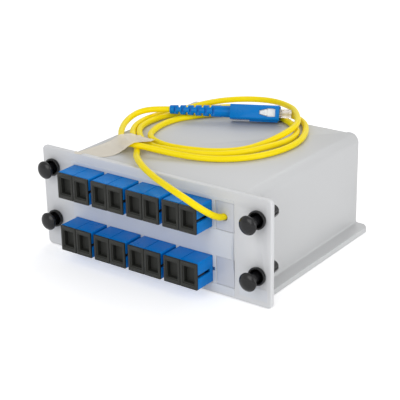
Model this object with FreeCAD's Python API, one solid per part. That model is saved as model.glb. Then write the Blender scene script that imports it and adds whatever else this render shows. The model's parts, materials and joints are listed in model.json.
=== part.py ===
"""PLC fibre splitter, 1 x 16, in a slide-in cassette housing.

A folded steel housing, 130 x 100 x 50 mm, behind a front panel that carries eight
duplex SC adapters, two blanking plates and four push-pull latches. A 3 mm pigtail
comes out of the upper blanking plate, lies in three loose turns on top of the
housing and ends in an SC plug.

Frame, millimetres: X across the front panel, Y from the front to the rear, Z up.
The origin is the middle of the housing's underside.
"""
import FreeCAD, Part
import math
import os

V = FreeCAD.Vector

# ---- housing -----------------------------------------------------------------------------
module_depth = 100.0        # front face of the panel to the rear of the cover
panel_width = 130.0
panel_height = 50.8         # two 25.4 mm slots
panel_sheet = 2.2
panel_corner = 2.2          # rounded corners of the panel
panel_edge = 0.4            # bevel round the front face
cover_width = 101.5
panel_over_cover = 1.6      # the panel stands this far above the cover
cover_sheet = 1.2
cover_fold = 4.5            # outside radius of the two long top folds
foot_fold = 1.0             # radius where a side turns out into its rail
rail_width = 116.2          # over both rails
rail_corner = 2.7           # cut corner at the rear of each rail
tray_sheet = 1.5
tray_lip_height = 4.3       # front lip, welded to the back of the panel
rear_lip_height = 8.0       # the cover's lip over the tray's rear wall
rear_lip_inset = 1.6        # gap from the side of the cover to the end of that lip
rear_lip_fold = 1.2         # outside radius of that fold
sheet_gap = 0.15            # between tray and cover where they only pass

cover_height = panel_height - panel_over_cover
front_y = -module_depth / 2
panel_back_y = front_y + panel_sheet
rear_y = module_depth / 2
rear_wall_y = rear_y - cover_sheet - tray_sheet
rail_top = tray_sheet + cover_sheet
cover_inside = cover_width / 2 - cover_sheet

# ---- rear screws -------------------------------------------------------------------------
screw_head = 4.6
screw_head_depth = 1.2
screw_shank = 2.5
screw_length = 5.0
screw_spacing = 68.0
screw_clearance = 0.05      # radial, round each screw

# ---- adapters ----------------------------------------------------------------------------
port_pitch = 9.3            # the two ports of one adapter
port_body_height = 13.0
adapter_count = 4           # in each row
adapter_pitch = 20.3
adapter_first_x = -36.0
row_low_z = 11.85           # middle of the lower row above the underside
row_high_drop = 12.45       # middle of the upper row below the panel's top
adapter_front = 11.0        # stands out in front of the panel
adapter_rear = 13.8         # runs in behind the panel
adapter_shoulder = 0.2      # the front body is larger than the cut-out by this, each side
adapter_bevel = 0.5
adapter_seam = 0.35         # groove between the two ports
hidden_sides = 6            # flats round each bar and bore that stays hidden
cutout_clearance = 0.1
cavity_width = 7.5
cavity_height = 9.1
middle_wall = 1.6
key_slot_height = 1.7
key_slot_length = 9.0
sleeve_holder = 4.8         # across the corners of the moulded core
sleeve_holder_length = 6.0  # stands out of the middle wall
sleeve_bore = 2.5

row_high_z = panel_height - row_high_drop
adapter_width = 2 * port_pitch
adapter_front_y = front_y - adapter_front
adapter_back_y = panel_back_y + adapter_rear
adapter_middle_y = (adapter_front_y + adapter_back_y) / 2
adapter_x = [adapter_first_x + n * adapter_pitch for n in range(adapter_count)]
rows = {"lower": row_low_z, "upper": row_high_z}

# ---- retaining clips on the adapters -----------------------------------------------------
clip_sheet = 0.4
clip_depth = 6.0
clip_tab_height = 1.5
clip_tab_width = 1.2        # the tab that shows through the panel
clip_tab_clearance = 0.1
clip_tab_setback = 0.3      # behind the panel's front face

# ---- dust caps ---------------------------------------------------------------------------
cap_width = 9.0
cap_height = 12.6
cap_flange = 1.0
cap_plug_clearance = 0.2    # each side, in the port
cap_plug_length = 6.2
cap_rim = 0.9               # the frame round the pocket
cap_pocket_width = 5.6
cap_pocket_height = 7.6
cap_pocket_depth = 3.0

# ---- blanking plates ---------------------------------------------------------------------
blank_width = 9.4
blank_height = 13.3
blank_gap = 0.15            # round the plate in its cut-out
blank_centre_x = 40.95
blank_flange = 0.9          # the step behind the panel, each side
blank_flange_sheet = 1.2
blank_setback = 0.1
exit_x = 40.6
exit_drop = 0.35            # below the middle of the upper row

exit_z = row_high_z - exit_drop

# ---- front sheet -------------------------------------------------------------------------
label_left = -46.8
label_right = 45.8
label_bottom = 1.5
label_top = 46.6
label_sheet = 0.25
label_window_gap = 0.45
sticker_left = 48.4
sticker_right = 63.0
sticker_bottom = 3.0
sticker_top = 8.6
sticker_sheet = 0.12

# ---- latches -----------------------------------------------------------------------------
latch_x = 58.3
latch_low_z = 14.9
latch_high_drop = 9.6       # below the panel's top
grommet_flange = 8.5
grommet_flange_sheet = 2.0
panel_hole = 6.5
barrel_collar = 6.4         # the stretch of the barrel inside the panel
barrel_diameter = 6.0
barrel_tip = 5.0
barrel_length = 12.2        # from the panel's front face to the tip
barrel_taper = 3.4          # the tip narrows over this length
prong_slit = 0.9
prong_slit_length = 6.2
latch_bore = 4.1
latch_bore_wide = 4.7
latch_shoulder = 1.4        # where the bore widens, from the panel's front face
neck_clearance = 0.05
plunger_head = 8.7
plunger_head_rim = 1.2
plunger_bevel = 0.7
plunger_travel = 5.3
plunger_left_in = 2.0         # the left pair stands this far in from fully drawn
plunger_stop_gap = 0.1        # left under the head when it is pushed in
plunger_pin_length = 4.4

latch_high_z = panel_height - latch_high_drop

# ---- inside the housing ------------------------------------------------------------------
inner_plug_clearance = 0.15
inner_plug_start = 0.5      # behind the middle wall
inner_plug_tail = 6.0       # body behind the adapter
inner_boot_base = 4.6
inner_boot_tip = 2.0
inner_boot_length = 9.0
tail_size = 0.9
tail_length = 5.0
loom_size = 4.0
loom_bevel = 1.2
splitter_length = 60.0
splitter_depth = 12.0
splitter_height = 4.0
splitter_bevel = 0.6
splitter_y = 37.0
saddle_sheet = 1.0
saddle_width = 6.0
saddle_foot = 3.0
saddle_spacing = 36.0
saddle_clearance = 0.05
guide_radius = 15.0
guide_wall = 1.5
guide_sides = 9             # flats round each half
guide_height = 9.0
guide_x = 26.0
guide_y = 8.0
fibre_loop_width = 3.0
fibre_loop_height = 3.4
fibre_loop_gap = 0.2
strain_block_width = 8.0
strain_block_height = 9.0
strain_block_depth = 7.0
strain_bore_clearance = 0.05

# ---- pigtail -----------------------------------------------------------------------------
cord_diameter = 3.0
exit_clearance = 0.2
cord_sides = 6              # of the plain tube
coil_height = 5.8
coil_corner_cut = 0.27       # share of each side that a corner's flat takes

# From the strain relief, out through the blanking plate and over the panel.
lead_route = [
    (40.6, -43.5, 38.0),
    (40.6, -53.5, 38.2),
    (41.3, -61.3, 43.8),
    (34.2, -65.2, 49.2),
    (22.6, -61.4, 50.2),
    (9.2, -56.6, 51.6),
    (-2.2, -51.8, 53.4),
    (-11.6, -44.6, 54.2),
    (-18.4, -36.6, 52.0),
    (-23.4, -28.6, 50.9),
]

# From the tied side of the coil, out over the edge and back into the plug's boot.
tail_route = [
    (-40.6, -20.6, 50.9),
    (-45.0, -14.4, 51.2),
    (-49.6, -7.4, 51.7),
    (-52.8, 0.6, 52.6),
    (-52.0, 8.6, 54.0),
    (-46.2, 13.76, 54.96),
    (-39.4, 17.2, 54.9),
]

coil_outside = [
    (-43.0, -26.5), (-50.0, -1.0), (-46.5, 27.0), (-26.0, 57.0), (3.5, 64.5),
    (28.5, 49.0), (39.5, 23.0), (35.5, -7.5), (14.5, -28.0), (-14.0, -31.5),
]
coil_inside = [
    (-27.5, -16.5), (-33.5, 2.5), (-31.0, 22.0), (-17.0, 39.0), (7.0, 44.5),
    (23.0, 32.0), (27.5, 11.0), (17.0, -10.5), (-6.0, -18.5),
]

# ---- tape round the coil -----------------------------------------------------------------
tape_start = (-26.5, -21.0)  # on top of the tied strands
tape_end = (-41.2, -48.0)    # over the panel's front edge
tape_width = 14.0
tape_sheet = 0.3
tape_lift = 0.15             # over what it lies on
tape_over_strands = 11.0     # flat part on top of the strands
tape_drop = 2.6              # from there down to the housing
tape_rise = 2.4              # up over the panel's edge
tape_over_panel = 4.6

# ---- plug --------------------------------------------------------------------------------
plug_tail = (-39.4, 17.2, 54.9)
plug_nose = (10.2, 42.3, 54.5)
plug_roll = -22.0
boot_tip_diameter = 4.4
boot_base_diameter = 6.0
boot_length = 26.0
boot_sides = 8
boot_slots = 6              # on each of its four sides, in turn
boot_slot_width = 1.2
boot_slot_depth = 0.9
boot_slot_first = 2.2
neck_diameter = 5.6
neck_length = 7.0
grip_width = 9.0
grip_height = 7.4
grip_length = 24.6
grip_bevel = 0.7
grip_wall = 0.6
grip_clearance = 0.15
window_length = 8.0
window_tall = 4.2
window_short = 2.0
window_from_nose = 2.0
key_width = 2.2
key_height = 0.8
key_length = 15.0
ferrule_diameter = 2.5
ferrule_length = 8.0
ferrule_nose = 0.6          # past the front of the grip
ferrule_cap_outer = 4.5
ferrule_cap_nose = 6.0
ferrule_cap_inside = 3.0
ferrule_cap_clearance = 0.02
inner_recess = 3.6          # front of the inner body behind the front of the grip
coil_room_side = 1.2        # kept clear between the coil and the plug, each side
coil_room_below = 3.4       # below the plug's axis, under the boot and the cap
coil_room_tail = 14.0       # beyond the boot's tail
coil_room_nose = 12.0       # beyond the grip's nose


# ---- helpers -----------------------------------------------------------------------------
def block(x, y, z):
    """A box between three (low, high) pairs."""
    return Part.makeBox(x[1] - x[0], y[1] - y[0], z[1] - z[0], V(x[0], y[0], z[0]))


def rod(radius, x, z, y_from, y_to):
    """A round bar along Y."""
    return Part.makeCylinder(radius, y_to - y_from, V(x, y_from, z), V(0, 1, 0))


def turned(profile, x, z):
    """Revolve a closed outline of (radius, y) points about an axis along Y."""
    points = [V(x + r, y, z) for r, y in profile]
    face = Part.Face(Part.makePolygon(points + points[:1]))
    return face.revolve(V(x, 0, z), V(0, 1, 0), 360)


def corner_arc(before, corner, after, radius):
    """Tangent points of an arc of this radius in a corner, and the arc itself."""
    back = (before - corner).normalize()
    on = (after - corner).normalize()
    half = back.getAngle(on) / 2
    reach = radius / math.tan(half)
    start = corner + back * reach
    end = corner + on * reach
    bisector = (back + on).normalize()
    middle = corner + bisector * (radius / math.sin(half) - radius)
    return start, end, Part.Arc(start, middle, end).toShape()


def rounded_outline(points, radii):
    """A closed wire through points, each corner rounded to its radius (0 keeps it sharp)."""
    edges = []
    joints = []
    count = len(points)
    for n in range(count):
        if radii[n] > 0:
            start, end, arc = corner_arc(points[n - 1], points[n], points[(n + 1) % count], radii[n])
            joints.append((start, end, arc))
        else:
            joints.append((points[n], points[n], None))
    for n in range(count):
        start, end, arc = joints[n]
        if arc:
            edges.append(arc)
        next_start = joints[(n + 1) % count][0]
        if (next_start - end).Length > 1e-6:
            edges.append(Part.LineSegment(end, next_start).toShape())
    return Part.Wire(edges)


def sheet_xz(outline, radii, y_from, y_to):
    """Extrude a closed outline of (x, z) points along Y."""
    points = [V(x, y_from, z) for x, z in outline]
    return Part.Face(rounded_outline(points, radii)).extrude(V(0, y_to - y_from, 0))


def rectangle_xz(x, z, y_from, y_to, corner=0.0):
    """A plate in the XZ plane between (low, high) pairs, with rounded corners."""
    outline = [(x[0], z[0]), (x[1], z[0]), (x[1], z[1]), (x[0], z[1])]
    return sheet_xz(outline, [corner] * 4, y_from, y_to)


def centred(middle, size):
    """The (low, high) pair of a length about its middle."""
    return (middle - size / 2, middle + size / 2)


def edges_at_y(solid, y):
    """Edges that lie wholly in the plane at this y."""
    return [e for e in solid.Edges if abs(e.BoundBox.YMin - y) < 1e-6 and abs(e.BoundBox.YMax - y) < 1e-6]


def route_path(route):
    """Straight runs joined by tangent arcs, each arc as large as its two runs allow."""
    points = [V(*p) for p in route]
    edges = []
    radii = []
    here = points[0]
    for n in range(1, len(points) - 1):
        before, corner, after = points[n - 1], points[n], points[n + 1]
        turn = math.pi - (before - corner).getAngle(after - corner)
        shorter = min((corner - before).Length, (after - corner).Length)
        radius = 0.45 * shorter / math.tan(turn / 2)
        start, end, arc = corner_arc(before, corner, after, radius)
        edges.append(Part.LineSegment(here, start).toShape())
        edges.append(arc)
        radii.append(radius)
        here = end
    edges.append(Part.LineSegment(here, points[-1]).toShape())
    return Part.Wire(edges), radii


def cord_tube(route, label):
    """A plain cord along its route; prints the radii and compares the volume."""
    path, radii = route_path(route)
    start = V(*route[0])
    along = (V(*route[1]) - start).normalize()
    side = along.cross(V(0, 0, 1)).normalize()
    over = along.cross(side)
    corners = []
    for n in range(cord_sides):
        turn = math.radians((n + 0.5) * 360 / cord_sides)
        corners.append(start + (side * math.cos(turn) + over * math.sin(turn)) * (cord_diameter / 2))
    section = Part.makePolygon(corners + corners[:1])
    tube = path.makePipeShell([section], True, False)
    ideal = Part.Face(section).Area * path.Length
    print(label, "length %.1f mm" % path.Length, "radii", [round(r, 1) for r in radii],
          "volume over section times length %.4f" % (tube.Volume / ideal))
    return tube


# ---- housing -----------------------------------------------------------------------------
def adapter_cutout(x, z, y_from, y_to):
    """The panel's hole for one adapter, with the notch for its clip's tab."""
    width = adapter_width - 2 * adapter_shoulder + 2 * cutout_clearance
    height = port_body_height - 2 * adapter_shoulder + 2 * cutout_clearance
    hole = block(centred(x, width), (y_from, y_to), centred(z, height))
    side = x + width / 2
    notch = block((side - 0.1, side + clip_tab_width), (y_from, y_to),
                  centred(z, clip_tab_height + 2 * clip_tab_clearance))
    return hole.fuse(notch)


def front_panel():
    """Flat painted plate with rounded corners and every opening of the front."""
    plate = rectangle_xz(centred(0, panel_width), (0, panel_height), front_y, panel_back_y, panel_corner)
    plate = plate.makeChamfer(panel_edge, edges_at_y(plate, front_y))
    past = 1.0
    span = (front_y - past, panel_back_y + past)
    cuts = [adapter_cutout(x, z, *span) for x in adapter_x for z in rows.values()]
    for z in rows.values():
        cuts.append(block(centred(blank_centre_x, blank_width + 2 * blank_gap), span,
                          centred(z, blank_height + 2 * blank_gap)))
    for x, z in latch_places():
        cuts.append(rod(panel_hole / 2, x, z, *span))
    return plate.cut(Part.makeCompound(cuts))


def cover():
    """Hat section folded from one sheet: top, two sides and two out-turned rails."""
    half = cover_width / 2
    rail = rail_width / 2
    outside = [(-rail, rail_top), (-half, rail_top), (-half, cover_height),
               (half, cover_height), (half, rail_top), (rail, rail_top)]
    inside = [(rail, tray_sheet), (cover_inside, tray_sheet), (cover_inside, cover_height - cover_sheet),
              (-cover_inside, cover_height - cover_sheet), (-cover_inside, tray_sheet), (-rail, tray_sheet)]
    inner_fold = cover_fold - cover_sheet
    inner_foot = foot_fold + cover_sheet
    radii = [0, foot_fold, cover_fold, cover_fold, foot_fold, 0,
             0, inner_foot, inner_fold, inner_fold, inner_foot, 0]
    hat = sheet_xz(outside + inside, radii, panel_back_y, rear_y)
    lip_half = half - cover_fold - rear_lip_inset
    lip = block((-lip_half, lip_half), (rear_y - cover_sheet, rear_y),
                (cover_height - rear_lip_height, cover_height))
    corner = block((-lip_half, lip_half), (rear_y - rear_lip_fold, rear_y),
                   (cover_height - rear_lip_fold, cover_height))
    core = Part.makeCylinder(rear_lip_fold, 2 * lip_half,
                             V(-lip_half, rear_y - rear_lip_fold, cover_height - rear_lip_fold), V(1, 0, 0))
    shell = hat.fuse(lip).cut(corner.cut(core)).removeSplitter()
    return shell.cut(Part.makeCompound(rail_corner_cuts() + rear_screws(screw_clearance)))


def tray():
    """Floor with two rails, a rear wall folded up and a low front lip."""
    half = cover_inside - sheet_gap
    wall_top = cover_height - cover_sheet - sheet_gap
    wall_corner = cover_fold - cover_sheet
    floor = block(centred(0, rail_width), (panel_back_y, rear_y), (0, tray_sheet))
    behind = block((-cover_inside, cover_inside), (rear_y - cover_sheet, rear_y + 1),
                   (-1, tray_sheet + 1))
    wall = sheet_xz([(-half, 0), (half, 0), (half, wall_top), (-half, wall_top)],
                    [0, 0, wall_corner, wall_corner], rear_wall_y, rear_y - cover_sheet)
    lip = block((-half, half), (panel_back_y, panel_back_y + tray_sheet), (0, tray_lip_height))
    body = floor.cut(behind).fuse([wall, lip]).removeSplitter()
    folds = [e for e in body.Edges if e.BoundBox.ZMax < 1e-6 and e.Length > cover_width / 2
             and abs(e.BoundBox.YMin - (rear_y - cover_sheet)) < 1e-6 and e.BoundBox.YLength < 1e-6]
    body = body.makeFillet(foot_fold, folds)
    return body.cut(Part.makeCompound(rail_corner_cuts() + rear_screws(screw_clearance)))


def rail_corner_cuts():
    """Wedges that cut the rear outer corner off each rail."""
    cuts = []
    for side in (-1, 1):
        x = side * rail_width / 2
        corner = [V(x, rear_y, -1), V(x - side * rail_corner, rear_y, -1), V(x, rear_y - rail_corner, -1)]
        face = Part.Face(Part.makePolygon(corner + corner[:1]))
        cuts.append(face.extrude(V(0, 0, rail_top + 2)))
    return cuts


def rear_screws(extra):
    """Two countersunk screws through the cover's rear lip; extra widens them into their holes."""
    screws = []
    head = screw_head / 2 + extra
    shank = screw_shank / 2 + extra
    z = cover_height - rear_lip_height / 2
    for side in (-1, 1):
        place = V(side * screw_spacing / 2, rear_y, z)
        cone = Part.makeCone(head, shank, screw_head_depth, place, V(0, -1, 0))
        pin = prism(shank, place.x, z, rear_y - screw_length, rear_y)
        screws.append(cone.fuse(pin).removeSplitter())
    return screws


# ---- front sheet -------------------------------------------------------------------------
def front_label():
    """Thin sheet on the panel, open round both rows and at their right-hand end."""
    sheet = block((label_left, label_right), (front_y - label_sheet, front_y), (label_bottom, label_top))
    left = adapter_x[0] - adapter_width / 2 - label_window_gap
    for z in rows.values():
        window = block((left, label_right + 1), (front_y - 1, front_y + 1),
                       centred(z, port_body_height + 2 * label_window_gap))
        sheet = sheet.cut(window)
    return sheet


def blank_sticker():
    """Small bare sticker in the panel's lower corner."""
    return block((sticker_left, sticker_right), (front_y - sticker_sheet, front_y),
                 (sticker_bottom, sticker_top))


def blanking_plate(z, pigtail_hole):
    """Fills the fifth opening of a row; a step behind the panel keeps it in."""
    front = front_y + blank_setback
    plate = block(centred(blank_centre_x, blank_width), (front, panel_back_y), centred(z, blank_height))
    step = block(centred(blank_centre_x, blank_width + 2 * blank_flange),
                 (panel_back_y, panel_back_y + blank_flange_sheet),
                 centred(z, blank_height + 2 * blank_flange))
    body = plate.fuse(step).removeSplitter()
    if pigtail_hole:
        hole = cord_diameter / 2 + exit_clearance
        body = body.cut(rod(hole, exit_x, exit_z, front - 1, panel_back_y + 2 * blank_flange_sheet))
    return body


# ---- adapters ----------------------------------------------------------------------------
def port_places(x):
    """Centres of an adapter's two ports."""
    return [x - port_pitch / 2, x + port_pitch / 2]


def bevelled(x, z, bevel, y_from, y_to):
    """A bar along Y with its four long corners bevelled."""
    outline = [(x[0] + bevel, z[0]), (x[1] - bevel, z[0]), (x[1], z[0] + bevel), (x[1], z[1] - bevel),
               (x[1] - bevel, z[1]), (x[0] + bevel, z[1]), (x[0], z[1] - bevel), (x[0], z[0] + bevel)]
    return sheet_xz(outline, [0] * 8, y_from, y_to)


def adapter(x, z):
    """Duplex body: two ports from each end with a wall between, key slots and a parting groove."""
    front = bevelled(centred(x, adapter_width), centred(z, port_body_height), adapter_bevel,
                     adapter_front_y, front_y)
    rear = block(centred(x, adapter_width - 2 * adapter_shoulder), (front_y, adapter_back_y),
                 centred(z, port_body_height - 2 * adapter_shoulder))
    cuts = []
    for top in (-1, 1):
        edge = z + top * port_body_height / 2
        cuts.append(block(centred(x, adapter_seam), (adapter_front_y - 1, front_y - adapter_shoulder),
                          centred(edge, 2 * adapter_seam)))
    half_wall = middle_wall / 2
    wall = (port_pitch - cavity_width) / 2
    slot = (adapter_front_y - 1, adapter_front_y + key_slot_length)
    for port_x in port_places(x):
        width = centred(port_x, cavity_width)
        height = centred(z, cavity_height)
        side = port_x + cavity_width / 2
        cuts.append(block(width, (adapter_front_y - 1, adapter_middle_y - half_wall), height))
        cuts.append(block(width, (adapter_middle_y + half_wall, adapter_back_y + 1), height))
        cuts.append(block((side - 0.1, side + wall), slot, centred(z, key_slot_height)))
    return front.fuse(rear).cut(Part.makeCompound(cuts)).removeSplitter()


def prism(radius, x, z, y_from, y_to):
    """A many-sided bar along Y, its corners on the radius."""
    corners = []
    for n in range(hidden_sides):
        turn = math.radians((n + 0.5) * 360 / hidden_sides)
        corners.append(V(x + radius * math.cos(turn), y_from, z + radius * math.sin(turn)))
    return Part.Face(Part.makePolygon(corners + corners[:1])).extrude(V(0, y_to - y_from, 0))


def sleeve_holders():
    """The tube in each port that holds the ferrules in line, seated on the middle wall."""
    holders = []
    wall_y = adapter_middle_y - middle_wall / 2
    tip_y = wall_y - sleeve_holder_length
    for z in rows.values():
        for x in adapter_x:
            for port_x in port_places(x):
                tube = prism(sleeve_holder / 2, port_x, z, tip_y, wall_y)
                bore = prism(sleeve_bore / 2, port_x, z, tip_y - 1, wall_y + 1)
                holders.append(tube.cut(bore))
    return Part.makeCompound(holders)


def adapter_clip(x, z):
    """Spring-steel saddle behind the panel, with one tab through the panel's notch."""
    half_width = adapter_width / 2 - adapter_shoulder
    half_height = port_body_height / 2 - adapter_shoulder
    span = (panel_back_y, panel_back_y + clip_depth)
    outside = block((x - half_width / 2, x + half_width + clip_sheet), span,
                    centred(z, 2 * (half_height + clip_sheet)))
    inside = block((x - half_width, x + half_width), (span[0] - 1, span[1] + 1), centred(z, 2 * half_height))
    side = x + half_width + cutout_clearance
    tab = block((side, side + clip_tab_width - clip_tab_clearance),
                (front_y + clip_tab_setback, panel_back_y + clip_sheet), centred(z, clip_tab_height))
    return outside.cut(inside).fuse(tab).removeSplitter()


def dust_cap(x, z):
    """Flange over the port's mouth and a plug in it, with a stepped pocket in front."""
    flange_front = adapter_front_y - cap_flange
    flange = block(centred(x, cap_width), (flange_front, adapter_front_y), centred(z, cap_height))
    plug = block(centred(x, cavity_width - 2 * cap_plug_clearance),
                 (adapter_front_y, adapter_front_y + cap_plug_length),
                 centred(z, cavity_height - 2 * cap_plug_clearance))
    step = block(centred(x, cap_pocket_width + cap_rim), (flange_front - 1, flange_front + cap_flange / 2),
                 centred(z, cap_pocket_height + cap_rim))
    pocket = block(centred(x, cap_pocket_width), (flange_front - 1, flange_front + cap_pocket_depth),
                   centred(z, cap_pocket_height))
    return flange.fuse(plug).cut(Part.makeCompound([step, pocket])).removeSplitter()


# ---- latches -----------------------------------------------------------------------------
def latch_places():
    """Centres of the four latches."""
    return [(side * latch_x, z) for side in (-1, 1) for z in (latch_low_z, latch_high_z)]


def latch_grommet(x, z):
    """Nylon grommet: flange, split barrel with a tapered tip, stepped bore."""
    face = front_y - grommet_flange_sheet
    flange = grommet_flange / 2
    collar = barrel_collar / 2
    barrel = barrel_diameter / 2
    bore = latch_bore / 2
    bore_wide = latch_bore_wide / 2
    tip_y = front_y + barrel_length
    shoulder_y = front_y + latch_shoulder
    profile = [
        (0, face),
        (flange, face),
        (flange, front_y),
        (collar, front_y),
        (collar, panel_back_y),
        (barrel, panel_back_y),
        (barrel, tip_y - barrel_taper),
        (barrel_tip / 2, tip_y),
        (0, tip_y),
    ]
    body = turned(profile, x, z)
    slit_span = (tip_y - prong_slit_length, tip_y + 1)
    cuts = [block(centred(x, prong_slit), slit_span, centred(z, 2 * barrel)),
            block(centred(x, 2 * barrel), slit_span, centred(z, prong_slit)),
            prism(bore, x, z, face, shoulder_y),
            prism(bore_wide, x, z, shoulder_y, tip_y + 1)]
    return body.cut(Part.makeCompound(cuts))


def latch_plunger(x, z, pushed):
    """Push-pull pin, this far in: bevelled head, neck and the thicker pin that stops it."""
    neck = latch_bore / 2 - neck_clearance
    pin = latch_bore_wide / 2 - neck_clearance
    head = plunger_head / 2
    head_back = front_y - grommet_flange_sheet - plunger_travel - plunger_stop_gap
    head_front = head_back - plunger_head_rim
    pin_y = front_y + latch_shoulder
    profile = [
        (0, head_front - plunger_bevel),
        (head - 2 * plunger_bevel, head_front - plunger_bevel),
        (head, head_front),
        (head, head_back),
        (0, head_back),
    ]
    stem = prism(neck, x, z, head_back, pin_y)
    stop = prism(pin, x, z, pin_y, pin_y + plunger_pin_length)
    drawn = turned(profile, x, z).fuse([stem, stop]).removeSplitter()
    return drawn.translated(V(0, pushed, 0))


# ---- inside ------------------------------------------------------------------------------
def inner_plug_back():
    """Rear end of the inner plugs' boots."""
    return adapter_back_y + inner_plug_tail + inner_boot_length


def inner_plug(x, z):
    """Simplified plug of one output fibre, in the back of a port."""
    start = adapter_middle_y + middle_wall / 2 + inner_plug_start
    body_end = adapter_back_y + inner_plug_tail
    body = block(centred(x, cavity_width - 2 * inner_plug_clearance), (start, body_end),
                 centred(z, cavity_height - 2 * inner_plug_clearance))
    base = centred(x, inner_boot_base) + centred(z, inner_boot_base)
    tip = centred(x, inner_boot_tip) + centred(z, inner_boot_tip)
    boot = Part.makeWedge(base[0], body_end, base[2], tip[2], tip[0],
                          base[1], inner_plug_back(), base[3], tip[3], tip[1])
    return body.fuse(boot).removeSplitter()


def inner_plugs():
    """All sixteen output plugs."""
    return Part.makeCompound([inner_plug(port_x, z) for z in rows.values()
                              for x in adapter_x for port_x in port_places(x)])


def fibre_loom():
    """A loom behind each row with a short tail to every plug, and a leg down to the floor."""
    loom_y = inner_plug_back() + tail_length
    left = adapter_x[0] - port_pitch
    right = adapter_x[-1] + port_pitch
    body = block((left, left + loom_size), centred(loom_y, loom_size - loom_bevel),
                 (tray_sheet, row_high_z))
    for z in rows.values():
        bar = bevelled_along_x((left, right), centred(loom_y, loom_size), centred(z, loom_size), loom_bevel)
        tails = [block(centred(port_x, tail_size), (inner_plug_back(), loom_y), centred(z, tail_size))
                 for x in adapter_x for port_x in port_places(x)]
        body = body.fuse([bar] + tails)
    return body.removeSplitter()


def splitter_case():
    """Steel case of the splitter chip, lying on the floor."""
    return bevelled_along_x(centred(0, splitter_length), centred(splitter_y, splitter_depth),
                            (tray_sheet, tray_sheet + splitter_height), splitter_bevel)


def bevelled_along_x(x, y, z, bevel):
    """A bar along X with its long corners bevelled."""
    outline = [(y[0] + bevel, z[0]), (y[1] - bevel, z[0]), (y[1], z[0] + bevel), (y[1], z[1] - bevel),
               (y[1] - bevel, z[1]), (y[0] + bevel, z[1]), (y[0], z[1] - bevel), (y[0], z[0] + bevel)]
    points = [V(x[0], a, b) for a, b in outline]
    return Part.Face(Part.makePolygon(points + points[:1])).extrude(V(x[1] - x[0], 0, 0))


def case_saddles():
    """Two bent straps that hold the splitter case on the tray."""
    saddles = []
    inner_half = splitter_depth / 2 + saddle_clearance
    outer_half = inner_half + saddle_sheet
    foot = outer_half + saddle_foot
    top = tray_sheet + splitter_height + saddle_clearance
    low = tray_sheet
    outline = [(-foot, low), (-inner_half, low), (-inner_half, top), (inner_half, top), (inner_half, low),
               (foot, low), (foot, low + saddle_sheet), (outer_half, low + saddle_sheet),
               (outer_half, top + saddle_sheet), (-outer_half, top + saddle_sheet),
               (-outer_half, low + saddle_sheet), (-foot, low + saddle_sheet)]
    for side in (-1, 1):
        x = side * saddle_spacing / 2 - saddle_width / 2
        points = [V(x, splitter_y + a, b) for a, b in outline]
        saddles.append(Part.Face(Part.makePolygon(points + points[:1])).extrude(V(saddle_width, 0, 0)))
    return Part.makeCompound(saddles)


def half_round(side, radius):
    """Points of a many-sided half ring round one guide's centre, from front to rear."""
    points = []
    for n in range(guide_sides + 1):
        turn = math.radians(-90 + n * 180 / guide_sides)
        out = guide_x + radius * math.cos(turn)
        points.append(V(side * out, guide_y + radius * math.sin(turn), tray_sheet))
    return points


def fibre_guides():
    """Two half-round walls that the spare fibre is wound round."""
    guides = []
    for side in (-1, 1):
        points = half_round(side, guide_radius) + half_round(side, guide_radius - guide_wall)[::-1]
        face = Part.Face(Part.makePolygon(points + points[:1]))
        guides.append(face.extrude(V(0, 0, guide_height)))
    return Part.makeCompound(guides)


def fibre_loop():
    """The spare fibre, a flat racetrack winding round both guides."""
    rings = []
    for radius in (guide_radius + fibre_loop_gap, guide_radius + fibre_loop_gap + fibre_loop_width):
        points = half_round(1, radius) + half_round(-1, radius)[::-1]
        rings.append(Part.Face(Part.makePolygon(points + points[:1])))
    return rings[1].cut(rings[0]).extrude(V(0, 0, fibre_loop_height))


def strain_relief():
    """Block behind the upper blanking plate that grips the pigtail."""
    back = panel_back_y + blank_flange_sheet
    body = block(centred(exit_x, strain_block_width), (back, back + strain_block_depth),
                 centred(exit_z, strain_block_height))
    bore = cord_diameter / 2 + strain_bore_clearance
    return body.cut(rod(bore, exit_x, exit_z, back - 1, back + strain_block_depth + 1))


# ---- pigtail -----------------------------------------------------------------------------
def flat_loop(points, z):
    """A closed face through points in the XY plane, with a flat across each corner."""
    outline = []
    for n, place in enumerate(points):
        corner = V(*place, z)
        for beside in (points[n - 1], points[(n + 1) % len(points)]):
            outline.append(corner + (V(*beside, z) - corner) * coil_corner_cut)
    return Part.Face(Part.makePolygon(outline + outline[:1]))


def pigtail_coil():
    """Outer shape of the three loose turns, with room for the plug that lies across them."""
    band = flat_loop(coil_outside, cover_height).cut(flat_loop(coil_inside, cover_height))
    ring = band.extrude(V(0, 0, coil_height))
    half = grip_width / 2 + coil_room_side
    deep = plug_tail[2]
    over = block((-coil_room_tail, plug_length() + coil_room_nose), (-half, half), (-coil_room_below, deep))
    room = block((boot_length, plug_length() + coil_room_side), (-half, half), (-deep, deep))
    return ring.cut(Part.makeCompound([on_plug(over, False), on_plug(room, False)]))


def coil_tape():
    """Tape from the top of the tied strands down to the housing and out over the panel."""
    start = V(tape_start[0], tape_start[1], 0)
    end = V(tape_end[0], tape_end[1], 0)
    along = (end - start).normalize()
    across = V(-along.y, along.x, 0)
    length = (end - start).Length
    top = cover_height + coil_height + tape_lift
    low = cover_height + tape_lift
    over = panel_height + tape_lift
    side = [(0, top), (tape_over_strands, top), (tape_over_strands + tape_drop, low),
            (length - tape_over_panel - tape_rise, low), (length - tape_over_panel, over), (length, over)]
    corner = start + across * (tape_width / 2)
    line = Part.makePolygon([corner + along * s + V(0, 0, z) for s, z in side])
    strip = line.makeOffset2D(tape_sheet, 2, True, True)
    return strip.extrude(across * -tape_width)


# ---- plug --------------------------------------------------------------------------------
def plug_length():
    """Tail of the boot to the front of the grip."""
    return (V(*plug_nose) - V(*plug_tail)).Length


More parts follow.
